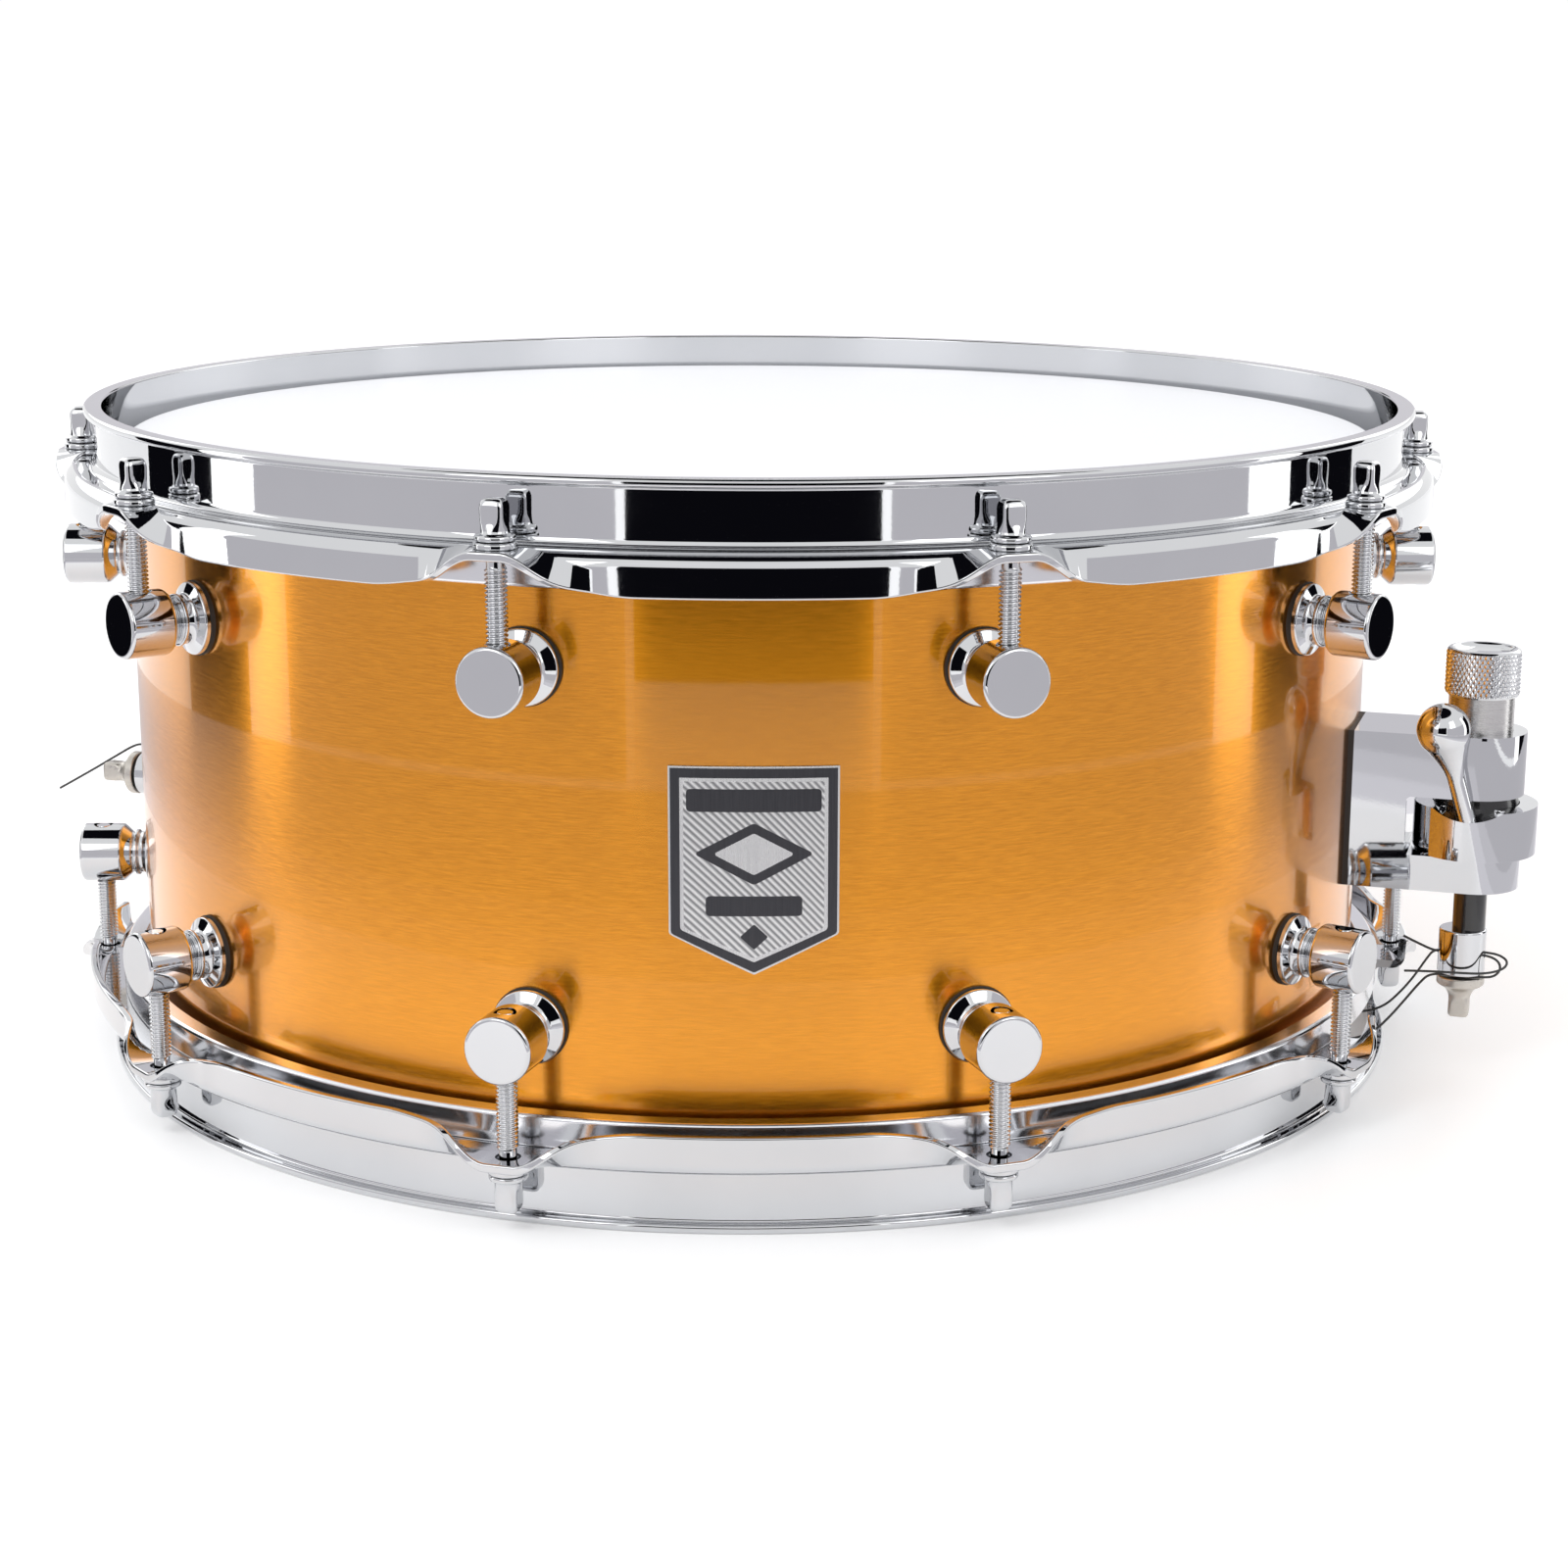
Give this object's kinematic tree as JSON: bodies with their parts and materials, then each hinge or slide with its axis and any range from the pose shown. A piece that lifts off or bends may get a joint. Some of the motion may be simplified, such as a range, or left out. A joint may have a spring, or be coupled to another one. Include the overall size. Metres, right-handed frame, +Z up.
{
  "type": "snare drum",
  "caption": "Metal-shell snare drum with flanged hoops, tension rods in round lugs, a lever throw-off strainer with a tension knob, a butt clamp and snare wires.",
  "frame": {"origin": "centre of the lower rim, in the plane that the rim rests on", "axes": "+Z up along the drum's axis, -Y towards the badge at the front, +X towards the strainer's side"},
  "size_m": [0.4429, 0.3898, 0.185],
  "materials": {
    "shell_metal": "bronze-gold anodised, brushed round the shell, glossy lacquer",
    "chrome": "mirror",
    "knob_metal": "mirror with a diamond knurl, satin neck",
    "flesh_hoop_metal": "polished",
    "batter_film": "coated white",
    "snare_side_film": "clear",
    "gasket_rubber": "matte black",
    "screw_steel": "zinc plated",
    "black_steel": "gloss black",
    "key_screw_steel": "satin",
    "snare_metal": "bright wire",
    "string_cord": "black braided cord",
    "badge_plate": "dark grey plate with bright lines"
  },
  "bodies": {
    "drum": {"shell": "shell_metal", "vent_grommet": "chrome", "badge": "badge_plate", "batter_head": "batter_film", "batter_flesh_hoop": "flesh_hoop_metal", "batter_hoop": "chrome", "snare_side_head": "snare_side_film", "snare_side_flesh_hoop": "flesh_hoop_metal", "snare_side_hoop": "chrome", "upper_lugs": "chrome", "lower_lugs": "chrome", "lug_gaskets": "gasket_rubber", "lug_screws": "screw_steel", "rod_washers": "chrome", "strainer_body": "chrome", "strainer_gasket": "gasket_rubber", "strainer_screws": "screw_steel", "butt_block": "chrome", "butt_gasket": "gasket_rubber", "butt_screws": "screw_steel"},
    "upper_rod_01": {"upper_tension_rod_01": "chrome"},
    "lower_rod_01": {"lower_tension_rod_01": "chrome"},
    "upper_rod_02": {"upper_tension_rod_02": "chrome"},
    "lower_rod_02": {"lower_tension_rod_02": "chrome"},
    "upper_rod_03": {"upper_tension_rod_03": "chrome"},
    "lower_rod_03": {"lower_tension_rod_03": "chrome"},
    "upper_rod_04": {"upper_tension_rod_04": "chrome"},
    "lower_rod_04": {"lower_tension_rod_04": "chrome"},
    "upper_rod_05": {"upper_tension_rod_05": "chrome"},
    "lower_rod_05": {"lower_tension_rod_05": "chrome"},
    "upper_rod_06": {"upper_tension_rod_06": "chrome"},
    "lower_rod_06": {"lower_tension_rod_06": "chrome"},
    "upper_rod_07": {"upper_tension_rod_07": "chrome"},
    "lower_rod_07": {"lower_tension_rod_07": "chrome"},
    "upper_rod_08": {"upper_tension_rod_08": "chrome"},
    "lower_rod_08": {"lower_tension_rod_08": "chrome"},
    "upper_rod_09": {"upper_tension_rod_09": "chrome"},
    "lower_rod_09": {"lower_tension_rod_09": "chrome"},
    "upper_rod_10": {"upper_tension_rod_10": "chrome"},
    "lower_rod_10": {"lower_tension_rod_10": "chrome"},
    "throw_off_lever": {"lever_collar": "chrome", "collar_cam": "black_steel", "collar_screw": "black_steel", "lever_handle": "chrome"},
    "snare_wires": {"strainer_end_plate": "snare_metal", "butt_end_plate": "snare_metal", "snare_coils": "snare_metal", "strainer_string_1": "string_cord", "strainer_string_2": "string_cord", "butt_string_1": "string_cord", "butt_string_2": "string_cord"},
    "plunger": {"plunger": "black_steel", "snare_clamp": "chrome"},
    "tension_knob": {"tension_knob": "knob_metal"},
    "clamp_screw": {"clamp_screw": "key_screw_steel"},
    "butt_clamp_screw": {"butt_clamp_screw": "key_screw_steel"}
  },
  "joints": [
    {"name": "upper_rod_01_turn", "type": "hinge", "parent": "drum", "child": "upper_rod_01", "pos_m": [0.0599, -0.18436, 0.1702], "axis": [0, 0, 1], "continuous": true},
    {"name": "upper_rod_02_turn", "type": "hinge", "parent": "drum", "child": "upper_rod_02", "pos_m": [0.15683, -0.11394, 0.1702], "axis": [0, 0, 1], "continuous": true},
    {"name": "upper_rod_03_turn", "type": "hinge", "parent": "drum", "child": "upper_rod_03", "pos_m": [0.19385, 0, 0.1702], "axis": [0, 0, 1], "continuous": true},
    {"name": "upper_rod_04_turn", "type": "hinge", "parent": "drum", "child": "upper_rod_04", "pos_m": [0.15683, 0.11394, 0.1702], "axis": [0, 0, 1], "continuous": true},
    {"name": "upper_rod_05_turn", "type": "hinge", "parent": "drum", "child": "upper_rod_05", "pos_m": [0.0599, 0.18436, 0.1702], "axis": [0, 0, 1], "continuous": true},
    {"name": "upper_rod_06_turn", "type": "hinge", "parent": "drum", "child": "upper_rod_06", "pos_m": [-0.0599, 0.18436, 0.1702], "axis": [0, 0, 1], "continuous": true},
    {"name": "upper_rod_07_turn", "type": "hinge", "parent": "drum", "child": "upper_rod_07", "pos_m": [-0.15683, 0.11394, 0.1702], "axis": [0, 0, 1], "continuous": true},
    {"name": "upper_rod_08_turn", "type": "hinge", "parent": "drum", "child": "upper_rod_08", "pos_m": [-0.19385, 0, 0.1702], "axis": [0, 0, 1], "continuous": true},
    {"name": "upper_rod_09_turn", "type": "hinge", "parent": "drum", "child": "upper_rod_09", "pos_m": [-0.15683, -0.11394, 0.1702], "axis": [0, 0, 1], "continuous": true},
    {"name": "upper_rod_10_turn", "type": "hinge", "parent": "drum", "child": "upper_rod_10", "pos_m": [-0.0599, -0.18436, 0.1702], "axis": [0, 0, 1], "continuous": true},
    {"name": "lower_rod_01_turn", "type": "hinge", "parent": "drum", "child": "lower_rod_01", "pos_m": [0.0599, -0.18436, 0.0148], "axis": [0, 0, 1], "continuous": true},
    {"name": "lower_rod_02_turn", "type": "hinge", "parent": "drum", "child": "lower_rod_02", "pos_m": [0.15683, -0.11394, 0.0148], "axis": [0, 0, 1], "continuous": true},
    {"name": "lower_rod_03_turn", "type": "hinge", "parent": "drum", "child": "lower_rod_03", "pos_m": [0.19385, 0, 0.0148], "axis": [0, 0, 1], "continuous": true},
    {"name": "lower_rod_04_turn", "type": "hinge", "parent": "drum", "child": "lower_rod_04", "pos_m": [0.15683, 0.11394, 0.0148], "axis": [0, 0, 1], "continuous": true},
    {"name": "lower_rod_05_turn", "type": "hinge", "parent": "drum", "child": "lower_rod_05", "pos_m": [0.0599, 0.18436, 0.0148], "axis": [0, 0, 1], "continuous": true},
    {"name": "lower_rod_06_turn", "type": "hinge", "parent": "drum", "child": "lower_rod_06", "pos_m": [-0.0599, 0.18436, 0.0148], "axis": [0, 0, 1], "continuous": true},
    {"name": "lower_rod_07_turn", "type": "hinge", "parent": "drum", "child": "lower_rod_07", "pos_m": [-0.15683, 0.11394, 0.0148], "axis": [0, 0, 1], "continuous": true},
    {"name": "lower_rod_08_turn", "type": "hinge", "parent": "drum", "child": "lower_rod_08", "pos_m": [-0.19385, 0, 0.0148], "axis": [0, 0, 1], "continuous": true},
    {"name": "lower_rod_09_turn", "type": "hinge", "parent": "drum", "child": "lower_rod_09", "pos_m": [-0.15683, -0.11394, 0.0148], "axis": [0, 0, 1], "continuous": true},
    {"name": "lower_rod_10_turn", "type": "hinge", "parent": "drum", "child": "lower_rod_10", "pos_m": [-0.0599, -0.18436, 0.0148], "axis": [0, 0, 1], "continuous": true},
    {"name": "throw_off", "type": "hinge", "parent": "drum", "child": "throw_off_lever", "pos_m": [0.20162, -0.06551, 0.0735], "axis": [0, 0, 1], "range_deg": [0, 175]},
    {"name": "snare_wires_drop", "type": "slide", "parent": "drum", "child": "snare_wires", "axis": [0, 0, -1], "range_m": [0, 0.0008], "deforming": ["butt_string_1", "butt_string_2"]},
    {"name": "plunger_drop", "type": "slide", "parent": "snare_wires", "child": "plunger", "axis": [0, 0, -1], "range_m": [0, 0.0062], "deforming": ["strainer_string_1", "strainer_string_2"]},
    {"name": "tension_knob_turn", "type": "hinge", "parent": "plunger", "child": "tension_knob", "pos_m": [0.20162, -0.06551, 0.1125], "axis": [0, 0, 1], "range_deg": [-720, 720]},
    {"name": "clamp_screw_turn", "type": "hinge", "parent": "plunger", "child": "clamp_screw", "pos_m": [0.2002, -0.06505, 0.0285], "axis": [0, 0, 1], "range_deg": [-360, 0]},
    {"name": "butt_clamp_screw_turn", "type": "hinge", "parent": "drum", "child": "butt_clamp_screw", "pos_m": [-0.19487, 0.06332, 0.057], "axis": [-0.9511, 0.309, 0], "range_deg": [0, 360]}
  ],
  "couplings": [
    {"joint": "snare_wires_drop", "follows": "throw_off", "m_per_rad": 0.0002619},
    {"joint": "plunger_drop", "follows": "throw_off", "m_per_rad": 0.0020297}
  ]
}
